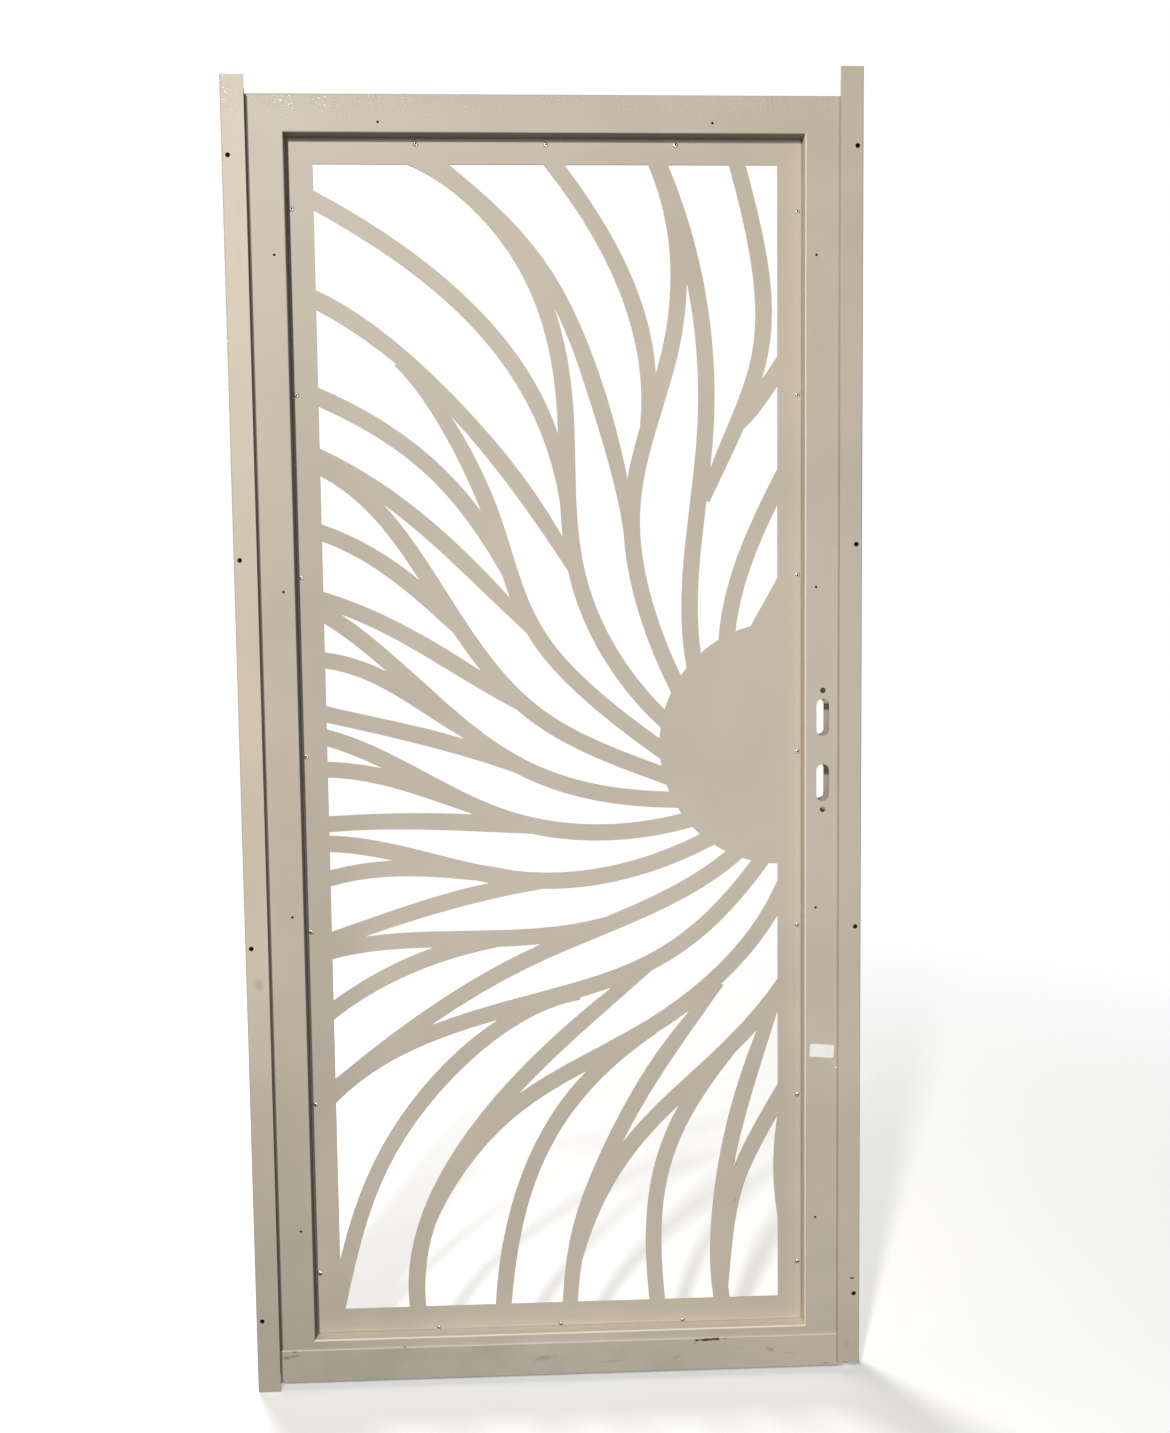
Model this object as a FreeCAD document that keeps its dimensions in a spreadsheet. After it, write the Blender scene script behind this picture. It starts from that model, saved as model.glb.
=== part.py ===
import FreeCAD
import Part
import Sketcher
import math
import os

os.makedirs("parts", exist_ok=True)
doc = FreeCAD.newDocument("security_screen_door")

# Sizes in millimetres
SIZES = [
    ("leaf_wide", 914.4),
    ("leaf_high", 2020.0),
    ("tube_face", 57.5),
    ("tube_deep", 38.0),
    ("tube_wall", 1.6),
    ("tube_corner", 2.4),
    ("jamb_wide", 25.4),
    ("jamb_deep", 50.8),
    ("jamb_wall", 1.6),
    ("jamb_corner", 2.4),
    ("jamb_lip", 10.4),
    ("jamb_over", 23.8),
    ("jamb_hole_radius", 3.75),
    ("jamb_hole_inset", 9.5),
    ("jamb_hole_first", 118.5),
    ("hinge_gap", 8.8),
    ("latch_gap", 6.5),
    ("latch_lift", 16.8),
    ("swing_gap", 5.0),
    ("leaf_lift", 22.0),
    ("channel_high", 55.0),
    ("channel_drop", 13.0),
    ("channel_wall", 1.5),
    ("channel_corner", 2.5),
    ("channel_short", 1.0),
    ("panel_thick", 1.9),
    ("panel_recess", 20.0),
    ("panel_border", 39.5),
    ("panel_fit", 1.0),
    ("ray_wide", 26.0),
    ("sun_radius", 195.0),
    ("sun_across", 725.0),
    ("sun_up", 920.0),
    ("ledge_leg", 14.0),
    ("ledge_wall", 2.0),
    ("lock_across", 28.5),
    ("lock_up", 1007.5),
    ("lock_slot_wide", 20.0),
    ("lock_slot_long", 59.0),
    ("lock_slot_pitch", 104.5),
    ("lock_hole_radius", 4.5),
    ("lock_hole_pitch", 190.5),
    ("drill_radius", 2.0),
    ("drill_inset", 39.5),
    ("drill_first", 240.0),
    ("drill_top_pitch", 512.0),
    ("drill_top_drop", 42.0),
    ("hinge_high", 90.0),
    ("hinge_plate_thick", 3.0),
    ("hinge_plate_wide", 28.0),
    ("hinge_barrel_radius", 6.25),
    ("hinge_pin_radius", 3.0),
    ("hinge_pin_play", 0.05),
    ("hinge_pin_proud", 1.5),
    ("hinge_knuckle_gap", 0.6),
    ("hinge_setback", 8.0),
    ("hinge_barrel_clear", 1.5),
    ("hinge_low", 190.0),
    ("cut_over", 2.0),
]

# Sizes that follow from the others
DERIVED = [
    ("jamb_face", "jamb_wide + jamb_lip"),
    ("jamb_core_right", "jamb_wide - jamb_wall"),
    ("jamb_core_left", "jamb_lip + jamb_wall"),
    ("jamb_core_far", "jamb_face - jamb_wall"),
    ("jamb_core_back", "jamb_deep - jamb_wall"),
    ("jamb_long", "leaf_lift + leaf_high + jamb_over"),
    ("jamb_hole_run", "jamb_long - 2 * jamb_hole_first"),
    ("latch_hole_inset", "jamb_face - jamb_hole_inset"),
    ("leaf_left", "jamb_wide - jamb_face / 2 + hinge_gap"),
    ("leaf_front", "jamb_wall + swing_gap + channel_wall"),
    ("leaf_back", "leaf_front + tube_deep"),
    ("latch_inner", "leaf_left + leaf_wide + latch_gap"),
    ("open_wide", "leaf_wide - 2 * tube_face"),
    ("open_high", "leaf_high - 2 * tube_face"),
    ("tube_core_face", "tube_face - tube_wall"),
    ("tube_core_deep", "tube_deep - tube_wall"),
    ("mitre_edge", "tube_face + cut_over"),
    ("mitre_leg", "tube_face + 2 * cut_over"),
    ("mitre_head", "leaf_high + cut_over"),
    ("mitre_far", "leaf_wide + cut_over"),
    ("drill_run", "leaf_high - 2 * drill_first"),
    ("drill_deep", "tube_wall + cut_over"),
    ("drill_latch", "tube_face - drill_inset"),
    ("drill_top_first", "leaf_wide / 2 - drill_top_pitch / 2"),
    ("drill_top_up", "tube_face - drill_top_drop"),
    ("lock_in", "tube_face - lock_across"),
    ("lock_slot_radius", "lock_slot_wide / 2"),
    ("lock_slot_reach", "lock_slot_long - lock_slot_wide"),
    ("lock_low_slot", "lock_up - lock_slot_pitch / 2 - lock_slot_reach / 2"),
    ("lock_top_slot", "lock_up + lock_slot_pitch / 2 - lock_slot_reach / 2"),
    ("lock_low_hole", "lock_up - lock_hole_pitch / 2"),
    ("lock_top_hole", "lock_up + lock_hole_pitch / 2"),
    ("channel_long", "leaf_wide - 2 * channel_short"),
    ("channel_deep", "tube_deep + 2 * channel_wall"),
    ("channel_core", "tube_deep + channel_wall"),
    ("panel_wide", "open_wide - 2 * panel_fit"),
    ("panel_high", "open_high - 2 * panel_fit"),
    ("ledge_front", "leaf_front + panel_recess + panel_thick"),
    ("ledge_step", "ledge_leg - ledge_wall"),
    ("ledge_short", "open_wide - 2 * ledge_leg"),
    ("hinge_pitch", "(leaf_high - 2 * hinge_low - hinge_high) / 2"),
    ("hinge_axis_x", "leaf_left - hinge_gap / 2"),
    ("hinge_axis_y", "leaf_back + hinge_setback"),
    ("hinge_bore", "hinge_pin_radius + hinge_pin_play"),
    ("hinge_pin_long", "hinge_high + 2 * hinge_pin_proud"),
    ("plate_out", "hinge_gap / 2"),
    ("plate_in", "hinge_gap / 2 - hinge_plate_thick"),
    ("notch_foot", "hinge_barrel_radius + hinge_barrel_clear"),
    ("notch_head", "hinge_barrel_radius + cut_over"),
    ("plate_foot", "notch_foot + hinge_plate_wide"),
    ("knuckle_high", "(hinge_high - hinge_knuckle_gap) / 2"),
    ("knuckle_step", "knuckle_high + hinge_knuckle_gap"),
    ("hinge_over", "hinge_high + cut_over"),
]

sheet = doc.addObject("Spreadsheet::Sheet", "Sizes")
row = 0
for name, value in SIZES:
    row += 1
    sheet.set("A%d" % row, name)
    sheet.set("B%d" % row, str(value))
    sheet.setAlias("B%d" % row, name)
doc.recompute()
for name, formula in DERIVED:
    row += 1
    sheet.set("A%d" % row, name)
    sheet.set("B%d" % row, "=" + formula)
    sheet.setAlias("B%d" % row, name)
    doc.recompute()

NAMES = [name for name, value in SIZES + DERIVED]
made = {}


def bound(text):
    """Writes a formula of size names as an expression on the sheet."""
    return " ".join("Sizes." + word if word in NAMES else word for word in text.split())


def size(name):
    """The value of a size, or of the size below zero if its name starts with a minus."""
    if name == "0":
        return 0.0
    return -getattr(sheet, name[1:]) if name.startswith("-") else getattr(sheet, name)


def body(node, x, y, z):
    obj = doc.addObject("PartDesign::Body", node)
    obj.setExpression("Placement.Base.x", bound(x))
    obj.setExpression("Placement.Base.y", bound(y))
    obj.setExpression("Placement.Base.z", bound(z))
    made[node] = obj
    return obj


def sketch(owner, name, role):
    obj = owner.newObject("Sketcher::SketchObject", owner.Name + "_" + name)
    for feature in owner.Origin.OriginFeatures:
        if feature.Role == role:
            obj.AttachmentSupport = [(feature, "")]
    obj.MapMode = "FlatFace"
    return obj


def limit(drawing, kind, geo, point, name):
    """Holds one coordinate of a point at a named size from the sketch's origin, point 1 of geometry -1."""
    if name == "0":
        axis = -2 if kind == "DistanceX" else -1
        drawing.addConstraint(Sketcher.Constraint("PointOnObject", geo, point, axis))
    elif name.startswith("-"):
        index = drawing.addConstraint(Sketcher.Constraint(kind, geo, point, -1, 1, size(name[1:])))
        drawing.setExpression("Constraints[%d]" % index, "Sizes." + name[1:])
    else:
        index = drawing.addConstraint(Sketcher.Constraint(kind, -1, 1, geo, point, size(name)))
        drawing.setExpression("Constraints[%d]" % index, "Sizes." + name)


def radius(drawing, geo, name):
    index = drawing.addConstraint(Sketcher.Constraint("Radius", geo, size(name)))
    drawing.setExpression("Constraints[%d]" % index, "Sizes." + name)


def outline(drawing, corners):
    """A closed square outline, anticlockwise: across, up and rounding (or None) of each corner."""
    spots = [FreeCAD.Vector(size(across), size(up), 0) for across, up, bend in corners]
    count = len(corners)
    ways = [(spots[(k + 1) % count] - spots[k]).normalize() for k in range(count)]
    bends = [size(bend) if bend else 0.0 for across, up, bend in corners]
    lines = []
    for k in range(count):
        after = (k + 1) % count
        start = spots[k] + ways[k] * bends[k]
        end = spots[after] - ways[k] * bends[after]
        lines.append(drawing.addGeometry(Part.LineSegment(start, end)))
        flat = abs(ways[k].x) > abs(ways[k].y)
        drawing.addConstraint(Sketcher.Constraint("Horizontal" if flat else "Vertical", lines[k]))
        across, up, bend = corners[k]
        if flat:
            limit(drawing, "DistanceY", lines[k], 1, up)
        else:
            limit(drawing, "DistanceX", lines[k], 1, across)
    for k in range(count):
        before = ways[k - 1]
        if not bends[k]:
            drawing.addConstraint(Sketcher.Constraint("Coincident", lines[k - 1], 2, lines[k], 1))
            continue
        centre = spots[k] - before * bends[k] + ways[k] * bends[k]
        start = math.atan2(-ways[k].y, -ways[k].x)
        end = math.atan2(before.y, before.x)
        left_turn = before.x * ways[k].y - before.y * ways[k].x > 0
        if not left_turn:
            start, end = end, start
        circle = Part.Circle(centre, FreeCAD.Vector(0, 0, 1), bends[k])
        arc = drawing.addGeometry(Part.ArcOfCircle(circle, start, end))
        first, last = (1, 2) if left_turn else (2, 1)
        drawing.addConstraint(Sketcher.Constraint("Tangent", lines[k - 1], 2, arc, first))
        drawing.addConstraint(Sketcher.Constraint("Tangent", arc, last, lines[k], 1))
        radius(drawing, arc, corners[k][2])


def hole(drawing, across, up, bore):
    circle = Part.Circle(FreeCAD.Vector(size(across), size(up), 0), FreeCAD.Vector(0, 0, 1), size(bore))
    geo = drawing.addGeometry(circle)
    limit(drawing, "DistanceX", geo, 3, across)
    limit(drawing, "DistanceY", geo, 3, up)
    radius(drawing, geo, bore)


def slot(drawing, across, foot, reach, bore):
    """An upright slot with round ends, from the centre of its lower end."""
    low = FreeCAD.Vector(size(across), size(foot), 0)
    top = low + FreeCAD.Vector(0, size(reach), 0)
    side = FreeCAD.Vector(size(bore), 0, 0)
    up = FreeCAD.Vector(0, 0, 1)
    right = drawing.addGeometry(Part.LineSegment(low + side, top + side))
    head = drawing.addGeometry(Part.ArcOfCircle(Part.Circle(top, up, size(bore)), 0, math.pi))
    left = drawing.addGeometry(Part.LineSegment(top - side, low - side))
    end = drawing.addGeometry(Part.ArcOfCircle(Part.Circle(low, up, size(bore)), math.pi, 2 * math.pi))
    for first, second in ((right, head), (head, left), (left, end), (end, right)):
        drawing.addConstraint(Sketcher.Constraint("Tangent", first, 2, second, 1))
    drawing.addConstraint(Sketcher.Constraint("Equal", head, end))
    drawing.addConstraint(Sketcher.Constraint("Vertical", right))
    limit(drawing, "DistanceX", end, 3, across)
    limit(drawing, "DistanceY", end, 3, foot)
    index = drawing.addConstraint(Sketcher.Constraint("DistanceY", end, 3, head, 3, size(reach)))
    drawing.setExpression("Constraints[%d]" % index, "Sizes." + reach)
    radius(drawing, end, bore)


def wedge(drawing, across, up, leg, run, rise):
    """A right triangle of two equal legs from its square corner; run and rise are the ways the legs go."""
    corner = FreeCAD.Vector(size(across), size(up), 0)
    far = corner + FreeCAD.Vector(run * size(leg), 0, 0)
    high = corner + FreeCAD.Vector(0, rise * size(leg), 0)
    flat = drawing.addGeometry(Part.LineSegment(corner, far))
    slope = drawing.addGeometry(Part.LineSegment(far, high))
    tall = drawing.addGeometry(Part.LineSegment(high, corner))
    for first, second in ((flat, slope), (slope, tall), (tall, flat)):
        drawing.addConstraint(Sketcher.Constraint("Coincident", first, 2, second, 1))
    drawing.addConstraint(Sketcher.Constraint("Horizontal", flat))
    drawing.addConstraint(Sketcher.Constraint("Vertical", tall))
    drawing.addConstraint(Sketcher.Constraint("Equal", flat, tall))
    index = drawing.addConstraint(Sketcher.Constraint("Distance", flat, size(leg)))
    drawing.setExpression("Constraints[%d]" % index, "Sizes." + leg)
    limit(drawing, "DistanceX", flat, 1, across)
    limit(drawing, "DistanceY", flat, 1, up)


def pad(owner, drawing, long):
    obj = owner.newObject("PartDesign::Pad", owner.Name + "_pad")
    obj.Profile = drawing
    obj.setExpression("Length", "Sizes." + long)
    doc.recompute()
    return obj


def pocket(owner, drawing, deep=None, both=False):
    """A cut to a named depth, or through everything."""
    obj = owner.newObject("PartDesign::Pocket", drawing.Name + "_cut")
    obj.Profile = drawing
    if deep:
        obj.setExpression("Length", "Sizes." + deep)
    else:
        obj.Type = "ThroughAll"
    if both:
        obj.SideType = "Symmetric"
    doc.recompute()
    return obj


def pattern(owner, original, drawing, axis, run, count):
    """Repeats a cut evenly over a named run along an axis of its sketch."""
    obj = owner.newObject("PartDesign::LinearPattern", original.Name + "_row")
    obj.Originals = [original]
    obj.Direction = (drawing, [axis])
    obj.setExpression("Length", "Sizes." + run)
    obj.Occurrences = count
    owner.Tip = obj
    doc.recompute()


# Jambs: a tube with a lip on the wall side that reaches towards the leaf
def jamb(node, x, z, outer, core, inset):
    owner = body(node, x, "0", z)
    section = sketch(owner, "section", "XY_Plane")
    outline(section, outer)
    outline(section, core)
    pad(owner, section, "jamb_long")
    drawing = sketch(owner, "hole", "XZ_Plane")
    hole(drawing, inset, "jamb_hole_first", "jamb_hole_radius")
    pattern(owner, pocket(owner, drawing), drawing, "V_Axis", "jamb_hole_run", 4)


jamb("hinge_jamb", "0 - jamb_face / 2", "0", [
    ("0", "0", "jamb_corner"),
    ("jamb_face", "0", None),
    ("jamb_face", "jamb_wall", None),
    ("jamb_wide", "jamb_wall", None),
    ("jamb_wide", "jamb_deep", "jamb_corner"),
    ("0", "jamb_deep", "jamb_corner"),
], [
    ("jamb_wall", "jamb_wall", None),
    ("jamb_core_right", "jamb_wall", None),
    ("jamb_core_right", "jamb_core_back", None),
    ("jamb_wall", "jamb_core_back", None),
], "jamb_hole_inset")
jamb("latch_jamb", "latch_inner - jamb_lip", "latch_lift", [
    ("0", "0", None),
    ("jamb_face", "0", "jamb_corner"),
    ("jamb_face", "jamb_deep", "jamb_corner"),
    ("jamb_lip", "jamb_deep", "jamb_corner"),
    ("jamb_lip", "jamb_wall", None),
    ("0", "jamb_wall", None),
], [
    ("jamb_core_left", "jamb_wall", None),
    ("jamb_core_far", "jamb_wall", None),
    ("jamb_core_far", "jamb_core_back", None),
    ("jamb_core_left", "jamb_core_back", None),
], "latch_hole_inset")


# Leaf frame: four tubes mitred at the corners
def tube(node, x, z, role, across, up, core_across, core_up, long):
    owner = body(node, x, "leaf_front", z)
    section = sketch(owner, "section", role)
    outline(section, [("0", "0", "tube_corner"), (across, "0", "tube_corner"),
                      (across, up, "tube_corner"), ("0", up, "tube_corner")])
    outline(section, [("tube_wall", "tube_wall", None), (core_across, "tube_wall", None),
                      (core_across, core_up, None), ("tube_wall", core_up, None)])
    pad(owner, section, long)
    return owner


def stile(node, x):
    return tube(node, x, "leaf_lift", "XY_Plane", "tube_face", "tube_deep",
                "tube_core_face", "tube_core_deep", "leaf_high")


def rail(node, z):
    return tube(node, "leaf_left", z, "YZ_Plane", "tube_deep", "tube_face",
                "tube_core_deep", "tube_core_face", "leaf_wide")


def mitres(owner, first, second):
    drawing = sketch(owner, "mitres", "XZ_Plane")
    wedge(drawing, *first)
    wedge(drawing, *second)
    pocket(owner, drawing)


def drills(owner, across, up, axis, run, count):
    drawing = sketch(owner, "drill", "XZ_Plane")
    hole(drawing, across, up, "drill_radius")
    pattern(owner, pocket(owner, drawing, "drill_deep"), drawing, axis, run, count)


owner = stile("hinge_stile", "leaf_left")
mitres(owner, ("mitre_edge", "-cut_over", "mitre_leg", -1, 1),
       ("mitre_edge", "mitre_head", "mitre_leg", -1, -1))
drills(owner, "drill_inset", "drill_first", "V_Axis", "drill_run", 4)

owner = stile("latch_stile", "leaf_left + leaf_wide - tube_face")
mitres(owner, ("-cut_over", "-cut_over", "mitre_leg", 1, 1),
       ("-cut_over", "mitre_head", "mitre_leg", 1, -1))
drawing = sketch(owner, "lock", "XZ_Plane")
slot(drawing, "lock_in", "lock_low_slot", "lock_slot_reach", "lock_slot_radius")
slot(drawing, "lock_in", "lock_top_slot", "lock_slot_reach", "lock_slot_radius")
hole(drawing, "lock_in", "lock_low_hole", "lock_hole_radius")
hole(drawing, "lock_in", "lock_top_hole", "lock_hole_radius")
pocket(owner, drawing)
drills(owner, "drill_latch", "drill_first", "V_Axis", "drill_run", 4)

owner = rail("top_rail", "leaf_lift + leaf_high - tube_face")
mitres(owner, ("-cut_over", "-cut_over", "mitre_leg", 1, 1),
       ("mitre_far", "-cut_over", "mitre_leg", -1, 1))
drills(owner, "drill_top_first", "drill_top_up", "H_Axis", "drill_top_pitch", 2)

owner = rail("bottom_rail", "leaf_lift")
mitres(owner, ("-cut_over", "mitre_edge", "mitre_leg", 1, -1),
       ("mitre_far", "mitre_edge", "mitre_leg", -1, -1))

# Bottom channel: a folded trough that wraps the bottom rail and hangs below it
owner = body("bottom_channel", "leaf_left + channel_short", "leaf_front - channel_wall",
             "leaf_lift - channel_drop")
section = sketch(owner, "section", "YZ_Plane")
outline(section, [
    ("0", "0", "channel_corner"),
    ("channel_deep", "0", "channel_corner"),
    ("channel_deep", "channel_high", None),
    ("channel_core", "channel_high", None),
    ("channel_core", "channel_wall", None),
    ("channel_wall", "channel_wall", None),
    ("channel_wall", "channel_high", None),
    ("0", "channel_high", None),
])
pad(owner, section, "channel_long")


# Ledge angles that the panel is riveted to
def ledge(node, x, z, role, corners, long):
    owner = body(node, x, "ledge_front", z)
    section = sketch(owner, "section", role)
    outline(section, corners)
    pad(owner, section, long)


RISING = [
    ("0", "0", None),
    ("ledge_leg", "0", None),
    ("ledge_leg", "ledge_wall", None),
    ("ledge_wall", "ledge_wall", None),
    ("ledge_wall", "ledge_leg", None),
    ("0", "ledge_leg", None),
]
FACING = [
    ("0", "0", None),
    ("ledge_leg", "0", None),
    ("ledge_leg", "ledge_leg", None),
    ("ledge_step", "ledge_leg", None),
    ("ledge_step", "ledge_wall", None),
    ("0", "ledge_wall", None),
]
HANGING = [
    ("0", "0", None),
    ("ledge_wall", "0", None),
    ("ledge_wall", "ledge_step", None),
    ("ledge_leg", "ledge_step", None),
    ("ledge_leg", "ledge_leg", None),
    ("0", "ledge_leg", None),
]
ledge("hinge_ledge", "leaf_left + tube_face", "leaf_lift + tube_face", "XY_Plane", RISING, "open_high")
ledge("latch_ledge", "leaf_left + tube_face + open_wide - ledge_leg", "leaf_lift + tube_face", "XY_Plane",
      FACING, "open_high")
ledge("top_ledge", "leaf_left + tube_face + ledge_leg", "leaf_lift + tube_face + open_high - ledge_leg",
      "YZ_Plane", HANGING, "ledge_short")
ledge("bottom_ledge", "leaf_left + tube_face + ledge_leg", "leaf_lift + tube_face",
      "YZ_Plane", RISING, "ledge_short")


# Hinges: a jamb knuckle below, a leaf knuckle above and a pin through both, three times
def plate_section(drawing, first, second, bore):
    """A plate rolled into a barrel at one end; first and second are its left and right sides."""
    up = FreeCAD.Vector(0, 0, 1)
    barrel = size("hinge_barrel_radius")
    foot = -size("plate_foot")
    left = size(first)
    right = size(second)
    left_up = -math.sqrt(barrel * barrel - left * left)
    right_up = -math.sqrt(barrel * barrel - right * right)
    start = math.atan2(right_up, right)
    end = math.atan2(left_up, left) + 2 * math.pi
    left_top = FreeCAD.Vector(left, left_up, 0)
    left_foot = FreeCAD.Vector(left, foot, 0)
    right_foot = FreeCAD.Vector(right, foot, 0)
    right_top = FreeCAD.Vector(right, right_up, 0)
    roll = drawing.addGeometry(Part.ArcOfCircle(Part.Circle(FreeCAD.Vector(), up, barrel), start, end))
    down = drawing.addGeometry(Part.LineSegment(left_top, left_foot))
    base = drawing.addGeometry(Part.LineSegment(left_foot, right_foot))
    rise = drawing.addGeometry(Part.LineSegment(right_foot, right_top))
    for before, after in ((roll, down), (down, base), (base, rise), (rise, roll)):
        drawing.addConstraint(Sketcher.Constraint("Coincident", before, 2, after, 1))
    drawing.addConstraint(Sketcher.Constraint("Coincident", roll, 3, -1, 1))
    radius(drawing, roll, "hinge_barrel_radius")
    drawing.addConstraint(Sketcher.Constraint("Vertical", down))
    drawing.addConstraint(Sketcher.Constraint("Horizontal", base))
    drawing.addConstraint(Sketcher.Constraint("Vertical", rise))
    limit(drawing, "DistanceX", down, 2, first)
    limit(drawing, "DistanceX", rise, 1, second)
    limit(drawing, "DistanceY", base, 1, "-plate_foot")
    hole_edge = drawing.addGeometry(Part.Circle(FreeCAD.Vector(), up, size(bore)))
    drawing.addConstraint(Sketcher.Constraint("Coincident", hole_edge, 3, -1, 1))
    radius(drawing, hole_edge, bore)


def hinge_half(node, z, first, second, bore, low, high):
    owner = body(node, "hinge_axis_x", "hinge_axis_y", z)
    section = sketch(owner, "section", "XY_Plane")
    plate_section(section, first, second, bore)
    pad(owner, section, "hinge_high")
    drawing = sketch(owner, "notch", "YZ_Plane")
    outline(drawing, [("-notch_foot", low, None), ("notch_head", low, None),
                      ("notch_head", high, None), ("-notch_foot", high, None)])
    pocket(owner, drawing, both=True)


for k, level in enumerate(("low", "mid", "top")):
    z = "leaf_lift + hinge_low + %d * hinge_pitch" % k
    hinge_half("hinge_%s_jamb_half" % level, z, "-plate_out", "-plate_in", "hinge_pin_radius",
               "knuckle_high", "hinge_over")
    hinge_half("hinge_%s_leaf_half" % level, z, "plate_in", "plate_out", "hinge_bore",
               "-cut_over", "knuckle_step")
    owner = body("hinge_%s_pin" % level, "hinge_axis_x", "hinge_axis_y", z + " - hinge_pin_proud")
    section = sketch(owner, "section", "XY_Plane")
    pin_round = Part.Circle(FreeCAD.Vector(), FreeCAD.Vector(0, 0, 1), size("hinge_pin_radius"))
    pin_edge = section.addGeometry(pin_round)
    section.addConstraint(Sketcher.Constraint("Coincident", pin_edge, 3, -1, 1))
    radius(section, pin_edge, "hinge_pin_radius")
    pad(owner, section, "hinge_pin_long")

# Sunburst panel: spine points of each ray, drawn in a window of this left, foot, right and head
DRAWN_WINDOW = (97.0, 109.0, 817.4, 1935.0)
# From the sun to the border
SUN_RAYS = [
    [(735, 1170), (743, 1249), (797, 1398), (830, 1463)],
    [(692, 1120), (678, 1300), (700, 1480), (703, 1620), (628, 1945)],
    [(668, 1100), (606, 1250), (586, 1380), (617, 1550), (649, 1650), (662, 1755), (625, 1945)],
    [(660, 1048), (566, 1150), (499, 1300), (460, 1700), (413, 1798), (325, 1902), (160, 1960)],
    [(665, 968), (550, 1014), (478, 1047), (300, 1237), (150, 1440), (80, 1482)],
    [(670, 940), (550, 950), (450, 976), (250, 1118), (150, 1208), (80, 1254)],
    [(692, 913), (550, 890), (400, 907), (300, 951), (80, 1053)],
    [(737, 894), (500, 815), (400, 815), (300, 836), (80, 879)],
    [(777, 878), (651, 787), (450, 703), (150, 521), (80, 464)],
    [(811, 869), (698, 737), (599, 670), (500, 634), (350, 598), (200, 542), (80, 455)],
]
# From another ray to the border
FORKED_RAYS = [
    [(702, 1418), (748, 1526), (785, 1620), (785, 1810), (752, 1945)],
    [(751, 1528), (806, 1602), (838, 1652)],
    [(604, 1510), (613, 1602), (558, 1800), (495, 1899), (461, 1945)],
    [(582, 1350), (573, 1430), (547, 1530), (524, 1610), (490, 1700), (428, 1800), (330, 1899),
     (260, 1955)],
    [(482, 1400), (461, 1510), (400, 1635), (300, 1743), (200, 1820), (80, 1890)],
    [(507, 1286), (467, 1353), (403, 1452), (320, 1550), (200, 1665), (80, 1738)],
    [(400, 1280), (344, 1384), (254, 1487), (152, 1554), (80, 1589)],
    [(432, 1207), (352, 1291), (152, 1459), (80, 1496)],
    [(330, 1195), (250, 1277), (150, 1348), (80, 1377)],
    [(430, 1082), (300, 1164), (200, 1223), (80, 1271)],
    [(330, 1045), (248, 1104), (199, 1135), (80, 1173)],
    [(425, 985), (300, 1034), (150, 1073), (80, 1090)],
    [(365, 918), (250, 965), (150, 992), (80, 998)],
    [(500, 893), (350, 907), (200, 913), (80, 909)],
    [(430, 812), (300, 832), (200, 837), (80, 818)],
    [(480, 813), (350, 797), (200, 757), (80, 717)],
    [(575, 755), (450, 724), (300, 720), (80, 700)],
    [(430, 723), (299, 705), (80, 595)],
    [(494, 624), (370, 578), (277, 500), (167, 350), (113, 200), (84, 80)],
    [(620, 680), (500, 583), (365, 450), (285, 345), (221, 150), (224, 95)],
    [(615, 565), (502, 476), (438, 390), (375, 200), (362, 95)],
    [(722, 640), (680, 585), (616, 500), (560, 400), (511, 297), (484, 200), (472, 95)],
    [(806, 606), (772, 568), (679, 453), (631, 351), (612, 170), (618, 95)],
    [(824, 640), (804, 580), (774, 500), (735, 350), (718, 220), (726, 95)],
]
# From the sun or the latch border into another ray
JOINED_RAYS = [
    [(660, 1000), (550, 1083), (465, 1165), (415, 1240), (380, 1350), (341, 1450), (291, 1550),
     (222, 1635)],
    [(828, 799), (750, 681), (640, 588), (540, 531), (411, 459), (340, 400), (284, 328),
     (226, 200), (222, 130)],
    [(838, 652), (777, 572), (657, 458), (586, 386), (525, 293), (485, 180)],
    [(832, 468), (785, 385), (746, 300), (731, 220), (726, 120)],
]
# Swellings of the latch border
SHOULDER = [(785, 1185), (846, 1292)]
BULGE = [(832, 425), (823, 325), (832, 235)]
SHOULDER_WIDE = 2.0
END_SHARE = 0.6
RAY_STEPS = 20
TAPER_STEPS = 4
RAY_FIT = 1.5

window_left = sheet.leaf_left + sheet.tube_face + sheet.panel_border
window_foot = sheet.leaf_lift + sheet.tube_face + sheet.panel_border
window_wide = sheet.open_wide - 2 * sheet.panel_border
window_high = sheet.open_high - 2 * sheet.panel_border
panel_front = sheet.leaf_front + sheet.panel_recess


def spot(across, up):
    """A drawn point on the panel's front plane, scaled with the window."""
    left, foot, right, head = DRAWN_WINDOW
    x = window_left + (across - left) * window_wide / (right - left)
    z = window_foot + (up - foot) * window_high / (head - foot)
    return FreeCAD.Vector(x, panel_front, z)


def sheet_face(x, z, wide, high):
    return Part.makePlane(wide, high, FreeCAD.Vector(x, panel_front, z), FreeCAD.Vector(0, -1, 0),
                          FreeCAD.Vector(1, 0, 0))


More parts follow.
